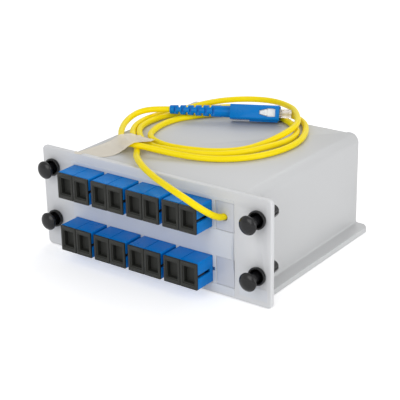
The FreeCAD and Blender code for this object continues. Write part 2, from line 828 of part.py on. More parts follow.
def on_plug(shape, rolled=True):
    """Put a shape made along +X, with the boot's tail at 0, where the plug lies."""
    along = V(*plug_nose) - V(*plug_tail)
    yaw = math.degrees(math.atan2(along.y, along.x))
    pitch = math.degrees(math.asin(-along.z / along.Length))
    roll = plug_roll if rolled else 0
    placed = shape.copy()
    placed.Placement = FreeCAD.Placement(V(*plug_tail), FreeCAD.Rotation(yaw, pitch, roll))
    return placed


def turned_on_x(profile):
    """Revolve a closed outline of (x, radius) points about X."""
    points = [V(x, 0, r) for x, r in profile]
    face = Part.Face(Part.makePolygon(points + points[:1]))
    return face.revolve(V(0, 0, 0), V(1, 0, 0), 360)


def between_rings(first, last):
    """A solid with flat sides between two rings of points."""
    faces = [Part.Face(Part.makePolygon(ring + ring[:1])) for ring in (first, last)]
    for n in range(len(first)):
        corners = [first[n - 1], first[n], last[n], last[n - 1]]
        faces.append(Part.Face(Part.makePolygon(corners + corners[:1])))
    solid = Part.makeSolid(Part.makeShell(faces))
    return solid if solid.Volume > 0 else solid.reversed()


def plug_boot():
    """Tapered boot with slots in turn on its sides and on its top and bottom, and a smooth neck."""
    ends = []
    for x, diameter in ((0, boot_tip_diameter), (boot_length, boot_base_diameter)):
        turns = [math.radians((n + 0.5) * 360 / boot_sides) for n in range(boot_sides)]
        ends.append([V(x, diameter / 2 * math.cos(t), diameter / 2 * math.sin(t)) for t in turns])
    cone = between_rings(ends[0], ends[1])
    neck = Part.makeCylinder(neck_diameter / 2, neck_length, V(boot_length, 0, 0), V(1, 0, 0))
    pitch = (boot_length - 2 * boot_slot_first) / (boot_slots - 0.5)
    slots = []
    for n in range(boot_slots):
        for turned_over in (0, 1):
            x = boot_slot_first + (n + turned_over / 2) * pitch
            if x + boot_slot_width > boot_length - 1:
                continue
            radius = (boot_tip_diameter + (boot_base_diameter - boot_tip_diameter) * x / boot_length) / 2
            for side in (-1, 1):
                depth = (side * (radius - boot_slot_depth), side * boot_base_diameter)
                cut = (min(depth), max(depth))
                across = (-boot_base_diameter, boot_base_diameter)
                spans = (across, cut) if turned_over else (cut, across)
                slots.append(block((x, x + boot_slot_width), *spans))
    return cone.fuse(neck).cut(Part.makeCompound(slots)).removeSplitter()


def side_window(short, tall, length, x_from, half_depth):
    """A trapezoid through both narrow sides, tall towards the nose."""
    outline = [(x_from, -short / 2), (x_from + length * 0.55, -tall / 2), (x_from + length, -tall / 2),
               (x_from + length, tall / 2), (x_from + length * 0.55, tall / 2), (x_from, short / 2)]
    points = [V(x, -half_depth, z) for x, z in outline]
    return Part.Face(Part.makePolygon(points + points[:1])).extrude(V(0, 2 * half_depth, 0))


def bar_on_x(x, half_y, half_z, bevel):
    """A bar along X with bevelled long corners, centred on the axis."""
    return bevelled_along_x(x, (-half_y, half_y), (-half_z, half_z), bevel)


def grip_span():
    """Ends of the plug's outer housing along its axis."""
    nose = plug_length()
    return nose - grip_length, nose


def plug_grip():
    """Outer housing: slides on the inner body to unlatch it from a port."""
    rear, nose = grip_span()
    half_y = grip_width / 2
    half_z = grip_height / 2
    body = bar_on_x((rear, nose), half_y, half_z, grip_bevel)
    key = block((nose - key_length, nose - 0.8), centred(0, key_width), (-half_z - key_height, -half_z + 0.1))
    hollow = block((rear - 1, nose + 1), (-half_y + grip_wall, half_y - grip_wall),
                   (-half_z + grip_wall, half_z - grip_wall))
    window = side_window(window_short, window_tall, window_length,
                         nose - window_from_nose - window_length, half_y + 1)
    return body.fuse(key).cut(Part.makeCompound([hollow, window])).removeSplitter()


def plug_inner_body():
    """Inner frame that carries the ferrule, with a raised ramp behind each side window."""
    rear, nose = grip_span()
    half_y = grip_width / 2 - grip_wall - grip_clearance
    half_z = grip_height / 2 - grip_wall - grip_clearance
    start = boot_length + neck_length
    body = bar_on_x((start, nose - inner_recess), half_y, half_z, 0.3)
    waist = [block((nose - window_from_nose - window_length - 1.0, nose - inner_recess - 2.2),
                   (side * half_y - 0.8, side * half_y + 0.8), (-window_short, window_short))
             for side in (-1, 1)]
    bore_start = nose + ferrule_nose - ferrule_length
    bore = turned_on_x([(bore_start, 0), (nose, 0), (nose, ferrule_diameter / 2),
                        (bore_start, ferrule_diameter / 2)])
    return body.cut(Part.makeCompound(waist + [bore]))


def plug_ferrule():
    """Ceramic ferrule with a bevelled end."""
    nose = plug_length() + ferrule_nose
    radius = ferrule_diameter / 2
    start = nose - ferrule_length
    return turned_on_x([(start, 0), (start, radius), (nose, radius), (nose, 0)])


def plug_dust_cap():
    """Clear cap over the ferrule."""
    nose = plug_length()
    outer = ferrule_cap_outer / 2
    inner = ferrule_diameter / 2 + ferrule_cap_clearance
    back = nose - ferrule_cap_inside
    front = nose + ferrule_cap_nose
    floor = nose + ferrule_nose + 0.5
    return turned_on_x([(back, inner), (back, outer), (front - 0.7, outer), (front, outer - 0.7),
                        (front, 0), (floor, 0), (floor, inner)])


# ---- export ------------------------------------------------------------------------------
def all_nodes():
    """Every piece of the object under its node name."""
    nodes = {
        "front_panel": front_panel(),
        "front_label": front_label(),
        "blank_sticker": blank_sticker(),
        "cover": cover(),
        "tray": tray(),
        "rear_screws": Part.makeCompound(rear_screws(0)),
        "blank_upper": blanking_plate(row_high_z, True),
        "blank_lower": blanking_plate(row_low_z, False),
        "sleeve_holders": sleeve_holders(),
        "inner_plugs": inner_plugs(),
        "fibre_loom": fibre_loom(),
        "splitter_case": splitter_case(),
        "case_saddles": case_saddles(),
        "fibre_guides": fibre_guides(),
        "fibre_loop": fibre_loop(),
        "strain_relief": strain_relief(),
        "pigtail_lead": cord_tube(lead_route, "lead"),
        "pigtail_coil": pigtail_coil(),
        "pigtail_tail": cord_tube(tail_route, "tail"),
        "coil_tape": coil_tape(),
        "plug_boot": on_plug(plug_boot()),
        "plug_grip": on_plug(plug_grip()),
        "plug_inner_body": on_plug(plug_inner_body()),
        "plug_ferrule": on_plug(plug_ferrule()),
        "plug_dust_cap": on_plug(plug_dust_cap()),
    }
    clips = []
    for row, z in rows.items():
        for n, x in enumerate(adapter_x, 1):
            nodes["adapter_%s_%d" % (row, n)] = adapter(x, z)
            clips.append(adapter_clip(x, z))
            for m, port_x in enumerate(port_places(x)):
                nodes["dust_cap_%s_%d" % (row, 2 * n - 1 + m)] = dust_cap(port_x, z)
    nodes["adapter_clips"] = Part.makeCompound(clips)
    nodes["latch_grommets"] = Part.makeCompound([latch_grommet(x, z) for x, z in latch_places()])
    corners = ["left_low", "left_high", "right_low", "right_high"]
    for corner, (x, z) in zip(corners, latch_places()):
        nodes["latch_plunger_" + corner] = latch_plunger(x, z, plunger_left_in if x < 0 else 0)
    return nodes


def main():
    """Build and export every node."""
    os.makedirs("parts", exist_ok=True)
    nodes = all_nodes()
    for name, shape in nodes.items():
        shape.exportStep("parts/%s.step" % name)
    print(len(nodes), "nodes")


main()
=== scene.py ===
# %% [markdown]
# A fibre splitter module: a folded steel box behind a front panel with eight blue twin
# adapters, sixteen black dust caps, four push-pull latches, and one yellow cable that lies
# in three loose turns on top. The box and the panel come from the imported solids. This
# lesson dresses them, and models afresh what is round, soft or bent.

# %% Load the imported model
import json
import math

import bmesh
import bpy
import numpy as np
from mathutils import Matrix, Vector

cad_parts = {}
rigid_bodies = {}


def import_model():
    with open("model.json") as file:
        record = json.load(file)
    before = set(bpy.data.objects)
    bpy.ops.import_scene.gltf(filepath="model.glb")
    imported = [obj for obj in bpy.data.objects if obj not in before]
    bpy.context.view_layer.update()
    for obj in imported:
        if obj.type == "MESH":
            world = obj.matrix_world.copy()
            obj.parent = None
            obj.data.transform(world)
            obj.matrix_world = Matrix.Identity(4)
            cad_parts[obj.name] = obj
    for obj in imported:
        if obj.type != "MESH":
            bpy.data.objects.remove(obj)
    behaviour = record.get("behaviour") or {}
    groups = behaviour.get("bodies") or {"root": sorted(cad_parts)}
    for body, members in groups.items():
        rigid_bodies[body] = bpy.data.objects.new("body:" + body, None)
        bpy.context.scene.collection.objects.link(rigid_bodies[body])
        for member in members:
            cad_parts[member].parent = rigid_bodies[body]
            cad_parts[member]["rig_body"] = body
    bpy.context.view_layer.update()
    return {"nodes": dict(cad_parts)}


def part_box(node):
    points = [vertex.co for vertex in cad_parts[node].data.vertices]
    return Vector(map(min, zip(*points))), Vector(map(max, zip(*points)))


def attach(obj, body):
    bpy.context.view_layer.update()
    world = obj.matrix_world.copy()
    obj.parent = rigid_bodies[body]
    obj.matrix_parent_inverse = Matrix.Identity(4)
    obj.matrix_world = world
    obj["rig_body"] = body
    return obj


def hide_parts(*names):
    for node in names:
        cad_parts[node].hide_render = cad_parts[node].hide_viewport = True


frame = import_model()
nodes = frame["nodes"]
MM = 0.001

# %% [markdown]
# The camera comes first, because everything else is judged through it. Its place is
# written down in metres, and the directions of its own axes are worked out from three
# angles. The lens is a long one, as in a catalogue, so that edges which are parallel stay
# nearly so.

# %% Camera
camera_place = Vector((0.31654, -0.44124, 0.23985))
camera_turn, camera_tilt, camera_roll = 0.635725, 0.384387, -0.0190507  # radians
lens_length, film_width, nearest = 108.16, 36, 0.02
forward = Vector((-math.sin(camera_turn) * math.cos(camera_tilt),
                  math.cos(camera_turn) * math.cos(camera_tilt), -math.sin(camera_tilt)))
level = Vector((math.cos(camera_turn), math.sin(camera_turn), 0))
above = level.cross(forward)
right = level * math.cos(camera_roll) + above * math.sin(camera_roll)
up = above * math.cos(camera_roll) - level * math.sin(camera_roll)
camera = bpy.data.objects.new("Camera", bpy.data.cameras.new("Camera"))
camera.data.lens = lens_length
camera.data.sensor_width = film_width
camera.data.clip_start = nearest
camera.matrix_world = Matrix.Translation(camera_place) @ Matrix(
    (right, up, -forward)).transposed().to_4x4()
bpy.context.scene.collection.objects.link(camera)
bpy.context.scene.camera = camera
print("camera looks along", [round(v, 3) for v in forward])

# %% [markdown]
# The cable is one length of flexible jacket, 3 mm thick. It leaves the panel, climbs over
# the top edge, makes three loose turns and ends in a plug. It could be a swept mesh, but a
# clamped NURBS spline of order 3 bends like a real cable and never kinks at a point. The
# turns are points at equal steps of angle round one centre, each with its own distance and
# height in millimetres.

# %% The cable's route
jacket = 3.0
lead_route = [
    (40.6, -43.5, 38.0), (40.6, -50.3, 37.9), (39.1, -54.8, 39.6), (36.2, -60.6, 44.3),
    (30.4, -63.8, 49.0), (21.6, -62.6, 51.2), (9.2, -57.4, 51.8), (-2.2, -51.8, 52.9),
    (-11.6, -44.6, 53.4), (-18.6, -36.0, 51.2), (-24.6, -27.8, 50.7)]
tail_route = [
    (-26.8, -32.8, 53.9), (-34.0, -28.0, 51.5), (-40.6, -20.4, 51.2), (-45.8, -14.2, 51.2),
    (-51.0, -5.6, 51.4), (-53.6, 2.4, 52.2), (-52.8, 9.6, 53.6), (-46.2, 13.76, 54.9),
    (-39.4, 17.2, 54.9)]
coil_centre = (-5.0, 17.0)
steps_in_turn = 16
first_heading = 229.0
turns = [
    [(46.4, 50.7), (46.5, 50.7), (43.8, 50.7), (38.6, 50.8), (41.0, 52.0), (44.6, 52.6),
     (47.0, 52.8), (42.2, 53.6), (36.8, 54.3), (35.2, 54.3), (32.2, 53.4), (30.0, 51.4),
     (32.0, 50.8), (33.2, 50.8), (34.0, 50.7), (37.6, 50.7)],
    [(39.0, 50.7), (34.4, 50.7), (30.8, 50.7), (26.8, 50.7), (25.8, 50.7), (26.4, 50.7),
     (29.0, 50.7), (32.8, 50.8), (33.4, 50.8), (35.9, 50.8), (35.9, 51.0), (34.6, 51.4),
     (36.9, 51.4), (38.6, 51.2), (39.4, 51.2), (44.6, 51.6)],
    [(43.2, 50.9), (43.3, 50.7), (39.4, 50.7), (35.2, 50.7), (35.6, 50.7), (37.0, 50.7),
     (38.4, 50.7), (39.6, 50.7), (40.4, 50.8), (39.6, 50.8), (40.5, 50.8), (41.6, 50.8),
     (43.4, 50.8), (43.8, 50.8), (44.4, 51.4), (52.0, 54.0)]]


def turn_points(turn):
    """Centre plus distance times (cos, sin) of a heading that steps back a sixteenth of a
    circle at a time, and the height of each point."""
    distance, height = np.array(turn).T
    heading = np.radians(first_heading - 360 / steps_in_turn * np.arange(steps_in_turn))
    return np.column_stack([coil_centre[0] + distance * np.cos(heading),
                            coil_centre[1] + distance * np.sin(heading), height])


route = np.vstack([lead_route] + [turn_points(turn) for turn in turns] + [tail_route]) * MM
print("cable points:", len(route))

# %% [markdown]
# The spline is made bare first, because the tape below is draped over its line. Only then
# does it get its thickness.

# %% The cable
jacket_facets = 5
cable_curve = bpy.data.curves.new("cable", "CURVE")
cable_curve.dimensions = "3D"
spline = cable_curve.splines.new("NURBS")
spline.points.add(len(route) - 1)
spline.points.foreach_set("co", np.column_stack([route, np.ones(len(route))]).ravel())
spline.order_u = 3
spline.use_endpoint_u = True
cable_curve.resolution_u = 10
line = bpy.data.objects.new("cable", cable_curve)
bpy.context.scene.collection.objects.link(line)
bpy.context.view_layer.update()
bare = bpy.data.meshes.new_from_object(line)
cable_line = np.empty(len(bare.vertices) * 3)
bare.vertices.foreach_get("co", cable_line)
cable_line = cable_line.reshape(-1, 3)
bpy.data.meshes.remove(bare)
cable_curve.bevel_depth = jacket / 2 * MM
cable_curve.bevel_resolution = jacket_facets
cable_curve.use_fill_caps = True

# %% [markdown]
# Materials are graphs of nodes. Written as calls they are hard to read, so one small class
# wraps a socket: adding or multiplying two of them adds the Math node for it, and one
# method makes any other node from its settings and its inputs.


# %% A socket that does arithmetic
class Wire:
    """An output socket of a shader graph, for use in Python arithmetic."""

    def __init__(self, tree, socket=None):
        self.tree, self.socket = tree, socket

    def node(self, kind, settings=None, inputs=None, output=0):
        """Add a node, set it up, connect its inputs, and return one of its outputs."""
        made = self.tree.nodes.new(kind)
        for name, value in (settings or {}).items():
            if name == "stops":
                ramp = made.color_ramp
                for place, colour in value:
                    stop = ramp.elements.new(place)
                    stop.color = (*colour, 1) if len(colour) == 3 else colour
                for spare in (ramp.elements[0], ramp.elements[-1]):
                    ramp.elements.remove(spare)
            else:
                setattr(made, name, value)
        for name, value in (inputs or {}).items():
            if isinstance(value, Wire):
                self.tree.links.new(value.socket, made.inputs[name])
            else:
                made.inputs[name].default_value = value
        return Wire(self.tree, made.outputs[output])

    def _with(self, operation, left, right):
        return self.node("ShaderNodeMath", {"operation": operation}, {0: left, 1: right})

    def __add__(self, other):
        return self._with("ADD", self, other)

    def __sub__(self, other):
        return self._with("SUBTRACT", self, other)

    def __rsub__(self, other):
        return self._with("SUBTRACT", other, self)

    def __mul__(self, other):
        return self._with("MULTIPLY", self, other)

    __radd__ = __add__
    __rmul__ = __mul__

    def mix(self, dark, light):
        """A colour between two colours, by this value."""
        return self.node("ShaderNodeMix", {"data_type": "RGBA"},
                         {0: self, 6: dark, 7: light}, output=2)


def linear(red, green, blue, alpha=1.0):
    """A screen colour, 0 to 255 a channel, as the linear numbers that shaders use."""
    screen = np.array([red, green, blue]) / 255
    flat = np.where(screen <= 0.04045, screen / 12.92, ((screen + 0.055) / 1.055) ** 2.4)
    return (*flat.tolist(), alpha)


def blank_material(name):
    """A new material and a wire to start its graph from."""
    material = bpy.data.materials.new(name)
    material.use_nodes = True
    return material, Wire(material.node_tree)


def dress(material, **sockets):
    """Put numbers, colours or wires on the sockets of the material's main shader."""
    shader = material.node_tree.nodes["Principled BSDF"]
    for name, value in sockets.items():
        socket = shader.inputs[name.replace("_", " ")]
        if isinstance(value, Wire):
            material.node_tree.links.new(value.socket, socket)
        else:
            socket.default_value = value
    return material


print("shader helpers ready")

# %% [markdown]
# Most finishes here are one recipe with different numbers: a colour that drifts a little
# over the surface, a fine grain that the light catches, and gloss that is uneven in the
# same places. Moulded plastic, powder coat and rolled steel differ in how large those are.
# Noise is used because it needs no unwrapping and stays fine from close by.


# %% One recipe for moulded and painted surfaces
def finish(name, colour, roughness, grain=900, relief=0.02, drift=0.05, drift_scale=60,
           gloss_drift=0.12, stretch=(1, 1, 1), **numbers):
    """Colour times 1 plus or minus drift by a slow noise; bump from a fine noise."""
    material, start = blank_material(name)
    place = start.node("ShaderNodeTexCoord", output=3)
    placed = start.node("ShaderNodeMapping", None, {0: place, 3: stretch})
    slow = start.node("ShaderNodeTexNoise", None, {0: placed, "Scale": drift_scale, "Detail": 3.0})
    fine = start.node("ShaderNodeTexNoise", None, {0: placed, "Scale": grain, "Detail": 2.0})
    dark = tuple(c * (1 - drift) for c in colour[:3]) + (1,)
    light = tuple(min(c * (1 + drift), 1) for c in colour[:3]) + (1,)
    bump = start.node("ShaderNodeBump", None,
                      {"Strength": 1.0, "Distance": relief * MM, "Height": fine})
    return dress(material, Base_Color=slow.mix(dark, light), Normal=bump,
                 Roughness=(slow - 0.5) * gloss_drift + (fine - 0.5) * gloss_drift + roughness,
                 **numbers)


materials = {
    "cover_paint": finish("cover_paint", linear(203, 204, 205), 0.46, 1500, 0.012, 0.012, 25),
    "panel_paint": finish("panel_paint", linear(216, 217, 219), 0.42, 1500, 0.010, 0.012, 25),
    "panel_sheet": finish("panel_sheet", linear(215, 218, 223), 0.34, 700, 0.004, 0.010, 30),
    "adapter_blue": finish("adapter_blue", linear(0, 121, 204), 0.30, 1200, 0.006, 0.05, 90,
                           Specular_IOR_Level=0.12),
    "cap_black": finish("cap_black", linear(43, 44, 41), 0.50, 1200, 0.012, 0.10, 120,
                        Specular_IOR_Level=0.25),
    "latch_nylon": finish("latch_nylon", linear(18, 18, 20), 0.24, 1000, 0.004, 0.10, 150,
                          Specular_IOR_Level=0.35),
    "blank_plastic": finish("blank_plastic", linear(200, 203, 211), 0.38, 1200, 0.006, 0.01, 40),
    "clip_steel": finish("clip_steel", linear(170, 172, 176), 0.30, 900, 0.006, 0.05, 200,
                         Metallic=1.0),
    "screw_steel": finish("screw_steel", linear(176, 176, 178), 0.28, 900, 0.006, 0.05, 300,
                          Metallic=1.0),
    "case_steel": finish("case_steel", linear(186, 188, 190), 0.32, 700, 0.006, 0.04, 80,
                         stretch=(0.1, 1, 1), Metallic=1.0),
    "ceramic_white": finish("ceramic_white", linear(238, 236, 230), 0.18, 600, 0.002, 0.02, 200),
    "guide_plastic": finish("guide_plastic", linear(225, 225, 222), 0.45, 900, 0.01, 0.03, 80),
    "fibre_yellow": finish("fibre_yellow", linear(255, 229, 0), 0.38, 700, 0.003, 0.04, 220,
                           Specular_IOR_Level=0.2),
    "plug_white": finish("plug_white", linear(236, 238, 240), 0.35, 900, 0.006, 0.02, 200),
    "tape_beige": finish("tape_beige", linear(248, 241, 227), 0.50, 500, 0.010, 0.03, 160,
                         Alpha=0.6),
    "cap_clear": finish("cap_clear", linear(236, 230, 224), 0.25, 400, 0.004, 0.02, 200,
                        Transmission_Weight=0.7, IOR=1.45),
}
print("materials:", len(materials))

# %% [markdown]
# New pieces are grids of points worked out as whole arrays. One helper numbers the corners
# of the quads between the points, one makes the mesh, and one turns a profile about an
# axis, which suits a latch knob as much as a ferrule's cap.


# %% Meshes from arrays
same_place = 1e-6


def grid_quads(rows, columns, wrap=False):
    """Corner numbers of the quads of a rows by columns grid. wrap joins the last column to
    the first."""
    row = np.arange(rows - 1)[:, None]
    column = np.arange(columns if wrap else columns - 1)[None, :]
    following = (column + 1) % columns
    return np.stack([row * columns + column, row * columns + following,
                     (row + 1) * columns + following, (row + 1) * columns + column],
                    -1).reshape(-1, 4)


def put(piece, body, slot, *replaced):
    """Link a piece, let it ride on a body, give it its finish, and hide the solids it stands for.
    """
    if piece.name not in bpy.context.scene.collection.objects:
        bpy.context.scene.collection.objects.link(piece)
    piece.data.materials.clear()
    piece.data.materials.append(materials[slot])
    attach(piece, body)
    if replaced:
        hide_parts(*replaced)
    return piece


def open_mesh(name, points, quads):
    """A smooth mesh from points in metres, just as they come."""
    mesh = bpy.data.meshes.new(name)
    mesh.from_pydata(points.reshape(-1, 3).tolist(), [], quads.tolist())
    mesh.shade_smooth()
    return mesh


def closed_mesh(name, points, quads, sharp=None):
    """A mesh whose doubles are merged and whose normals are turned outwards. Edges that
    bend by more than sharp degrees are left hard."""
    mesh = open_mesh(name, points, quads)
    work = bmesh.new()
    work.from_mesh(mesh)
    bmesh.ops.remove_doubles(work, verts=work.verts, dist=same_place)
    bmesh.ops.dissolve_degenerate(work, edges=work.edges, dist=same_place)
    bmesh.ops.recalc_face_normals(work, faces=work.faces)
    work.to_mesh(mesh)
    work.free()
    mesh.shade_smooth()
    if sharp:
        mesh.set_sharp_from_angle(angle=math.radians(sharp))
    return mesh


def thin_sheet(name, points, thickness):
    """A sheet of some thickness in millimetres on a grid of points in metres."""
    mesh = open_mesh(name, points, grid_quads(*points.shape[:2]))
    piece = bpy.data.objects.new(name, mesh)
    wall = piece.modifiers.new("Sheet thickness", "SOLIDIFY")
    wall.thickness = thickness * MM
    return piece


def turned(profile, steps=48):
    """Points of a profile swept about X: (s, r) at the angle t gives (s, r cos t, r sin t)."""
    along, radius = np.array(profile, float).T
    angle = 2 * np.pi * np.arange(steps) / steps
    return np.stack([np.repeat(along[:, None], steps, 1), radius[:, None] * np.cos(angle),
                     radius[:, None] * np.sin(angle)], -1)


def moved(points, matrix):
    """Points times a 4 by 4 matrix."""
    table = np.array(matrix)
    return points @ table[:3, :3].T + table[:3, 3]


def smooth_profile(corners, per_corner=5):
    """A profile whose corners are cut by quadratic curves, from (place, radius, cut) rows:
    each corner is left and reached at its own cut distance."""
    rows = []
    for n, (place, radius, cut) in enumerate(corners):
        here = np.array([place, radius])
        if cut == 0:
            rows.append(here[None])
            continue
        before, after = np.array(corners[n - 1][:2]), np.array(corners[n + 1][:2])
        start = here + (before - here) / np.linalg.norm(before - here) * cut
        end = here + (after - here) / np.linalg.norm(after - here) * cut
        t = np.linspace(0, 1, per_corner)[:, None]
        rows.append((1 - t) ** 2 * start + 2 * t * (1 - t) * here + t ** 2 * end)
    return np.vstack(rows)


print("mesh helpers ready")

# %% [markdown]
# The sheet metal and the square mouldings are right as solids, but every real edge has a
# small radius that catches the light. They could be modelled afresh, but copies keep the
# sizes of the solids. In each copy the loose triangles are merged into whole faces, and a Bevel
# rounds what is sharp.


# %% Softened copies of the solids
flat_within, sharp_from, bevel_segments = 0.5, 30, 2  # degrees, degrees, faces


def softened(node, slot, width):
    """A merged copy of a solid whose sharp edges have a radius of width millimetres."""
    mesh = nodes[node].data.copy()
    work = bmesh.new()
    work.from_mesh(mesh)
    bmesh.ops.remove_doubles(work, verts=work.verts, dist=2 * same_place)
    bmesh.ops.dissolve_limit(work, angle_limit=math.radians(flat_within), verts=work.verts,
                             edges=work.edges)
    work.to_mesh(mesh)
    work.free()
    mesh.shade_smooth()
    piece = bpy.data.objects.new(node + "_soft", mesh)
    bevel = piece.modifiers.new("Soft edges", "BEVEL")
    bevel.width = width * MM
    bevel.segments = bevel_segments
    bevel.limit_method = "ANGLE"
    bevel.angle_limit = math.radians(sharp_from)
    bevel.harden_normals = True
    return put(piece, nodes[node]["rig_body"], slot, node)


soft_edges = {"front_panel": ("panel_paint", 0.35), "cover": ("cover_paint", 0.22),
              "tray": ("cover_paint", 0.2), "blank_upper": ("blank_plastic", 0.12),
              "blank_lower": ("blank_plastic", 0.12),
              "plug_grip": ("adapter_blue", 0.3), "plug_inner_body": ("plug_white", 0.12)}
for side in ("lower", "upper"):
    soft_edges.update({f"adapter_{side}_{n}": ("adapter_blue", 0.25) for n in range(1, 5)})
    soft_edges.update({f"dust_cap_{side}_{n}": ("cap_black", 0.22) for n in range(1, 9)})
for node, (slot, width) in soft_edges.items():
    softened(node, slot, width)
print("softened solids:", len(soft_edges))

# %% [markdown]
# What is flat, hidden in the box or too small to need a radius keeps the shape of its solid
# and only gets its finish.

# %% Finishes of the solids that stay as they are
plain = {"front_label": "panel_sheet", "blank_sticker": "panel_sheet",
         "rear_screws": "screw_steel", "adapter_clips": "clip_steel",
         "sleeve_holders": "adapter_blue",
         "strain_relief": "guide_plastic", "inner_plugs": "adapter_blue",
         "fibre_loom": "fibre_yellow", "splitter_case": "case_steel",
         "case_saddles": "clip_steel", "fibre_guides": "guide_plastic",
         "fibre_loop": "fibre_yellow", "plug_ferrule": "ceramic_white"}
for node, slot in plain.items():
    nodes[node].data.materials.clear()
    nodes[node].data.materials.append(materials[slot])
print("plain solids:", len(plain))

# %% [markdown]
# The label sheet has come unstuck along a stretch of its right edge. The sheet itself could
# be bent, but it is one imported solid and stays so. A narrow strip in the same finish rises
# from it instead, and the gap under the strip shows as a dark line.

# %% Lifted edge of the label
label_low, label_high = (np.array(corner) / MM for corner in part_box("front_label"))
lift_width, lift_height, lift_from, lift_to = 1.3, 0.5, 11.0, 34.0
label_gap, label_thickness = 0.02, 0.05


def lifted_points(rows=40, columns=8):
    """Along the edge both the width and the rise swell as a sine. Across the strip the rise
    is the square of the way w from the sheet to the free edge."""
    z = np.linspace(lift_from, lift_to, rows)[:, None]
    w = np.linspace(0, 1, columns)[None, :]
    swell = np.sin(np.pi * (z - lift_from) / (lift_to - lift_from))
    x = label_high[0] - lift_width * swell * (1 - w)
    rise = lift_height * w ** 2 * swell
    return np.stack([x, label_low[1] - label_gap - rise, z + 0 * w], -1) * MM


put(thin_sheet("label_lifted_edge", lifted_points(), label_thickness), "housing", "panel_sheet")
print("lifted edge:", lift_to - lift_from, "mm long")

# %% [markdown]
# A latch is a nylon plunger in a split grommet. The knob is a mushroom: a domed head on a
# thin neck, with a thicker pin at the far end that spreads the grommet's prongs. All of it
# is round, so it is a profile turned about the latch's axis. A small cone behind the head
# drops into a dish in the grommet when the latch is pushed home.

# %% Latch plungers
knob_radius, head_depth, dome_rise = 4.35, 1.9, 0.8
neck_radius, pin_radius, pin_length = 2.2, 2.4, 4.4
cone_radius, cone_length = 3.1, 1.4
latches = [f"latch_plunger_{side}_{level}" for side in ("left", "right")
           for level in ("low", "high")]


def knob_profile(span):
    """Rows of (place, radius, cut) from the pin's end at 0 to the tip of the dome, for a
    plunger whose solid is span millimetres long."""
    back, tip = span - head_depth, span + dome_rise
    return [(0.0, 0.0, 0), (0.0, pin_radius, 0.2), (pin_length, pin_radius, 0.2),
            (pin_length + 0.3, neck_radius, 0.1), (back - cone_length, neck_radius, 0.5),
            (back, cone_radius, 0.25), (back + 0.1, knob_radius - 0.45, 0.05),
            (back + 0.45, knob_radius, 0.25), (back + 1.15, knob_radius, 0.35),
            (back + 2.1, knob_radius - 1.05, 0.6), (tip - 0.1, 1.7, 0.6), (tip, 0.0, 0)]


def on_latch(latch, y, quarter_turns):
    """The matrix from a profile's X axis to a latch's axis, from the depth y in metres."""
    low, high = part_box(latch)
    centre = Vector(((low[0] + high[0]) / 2, y, (low[2] + high[2]) / 2))
    return Matrix.Translation(centre) @ Matrix.Rotation(quarter_turns * math.pi / 2, 4, "Z")


for latch in latches:
    low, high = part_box(latch)
    points = turned(smooth_profile(knob_profile((high[1] - low[1]) / MM), 7)) * MM
    mesh = closed_mesh(latch + "_knob", moved(points, on_latch(latch, high[1], -1)),
                       grid_quads(*points.shape[:2], True))
    put(bpy.data.objects.new(latch + "_knob", mesh), nodes[latch]["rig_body"], "latch_nylon",
        latch)
print("plungers:", len(latches))

# %% [markdown]
# The grommet is a ring from the dish to the tip of its barrel and back through the bore.
# Its barrel is split in four. A Boolean could cut the slits, but it leaves long thin faces.
# Here a point of the barrel that lies closer than half a slit's width to one of the two
# cross planes is pulled in to the bore, and the grid stays whole.

# %% Latch grommets
low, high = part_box("latch_grommets")
depth = (high[1] - low[1]) / MM
flange_radius, flange_depth, dish_radius, dish_depth = 4.25, 2.0, 3.6, 1.6
collar_radius, collar_end, barrel_radius, tip_radius, bore_radius = 3.2, 4.2, 3.0, 2.7, 2.55
slit_from, slit_half = depth - 6.2, 0.45
grommet_profile = smooth_profile([
    (dish_depth, bore_radius, 0), (0.0, dish_radius, 0.15), (0.0, flange_radius, 0.3),
    (1.2, flange_radius, 0.3), (flange_depth, flange_radius - 0.35, 0.1),
    (flange_depth, collar_radius, 0.05), (collar_end, collar_radius, 0.02),
    (collar_end + 0.05, barrel_radius, 0.02), (7.9, barrel_radius, 0), (8.0, barrel_radius, 0),
    (depth - 3.4, barrel_radius, 0.3), (depth - 0.2, tip_radius + 0.05, 0.05),
    (depth, tip_radius, 0), (depth, bore_radius, 0), (dish_depth, bore_radius, 0)], 4)


def grommet_points(columns=112):
    """Profile turned about X; past slit_from the radius falls to the bore's wherever the
    point lies within slit_half of a cross plane."""
    points = turned(grommet_profile, columns)
    off_planes = np.minimum(np.abs(points[..., 1]), np.abs(points[..., 2]))
    slit = (points[..., 0] > slit_from + 0.05) & (off_planes < slit_half)
    radius = np.hypot(points[..., 1], points[..., 2])
    factor = np.where(slit, bore_radius / radius, 1)
    points[..., 1:] *= factor[..., None]
    return points * MM


ring = grommet_points()
quads = grid_quads(*ring.shape[:2], True)
mesh = closed_mesh(
    "latch_grommets_turned",
    np.vstack([moved(ring, on_latch(latch, low[1], 1)).reshape(-1, 3) for latch in latches]),
    np.vstack([quads + n * ring[..., 0].size for n in range(len(latches))]), sharp=40)
put(bpy.data.objects.new("latch_grommets_turned", mesh), "housing", "latch_nylon",
    "latch_grommets")
print("grommet faces:", len(mesh.polygons))

# %% [markdown]
# The plug lies on the coil along its own axis, so its pieces are made along X with the
# boot's tail at zero and then carried to the plug by one matrix, which leaves the objects
# themselves at the origin. The boot is a cone with flat-bottomed slots, which let it bend
# with the cable: where a slot is, the distance from the axis is cut to that of a flat, its
# depth divided by the cosine of the angle.

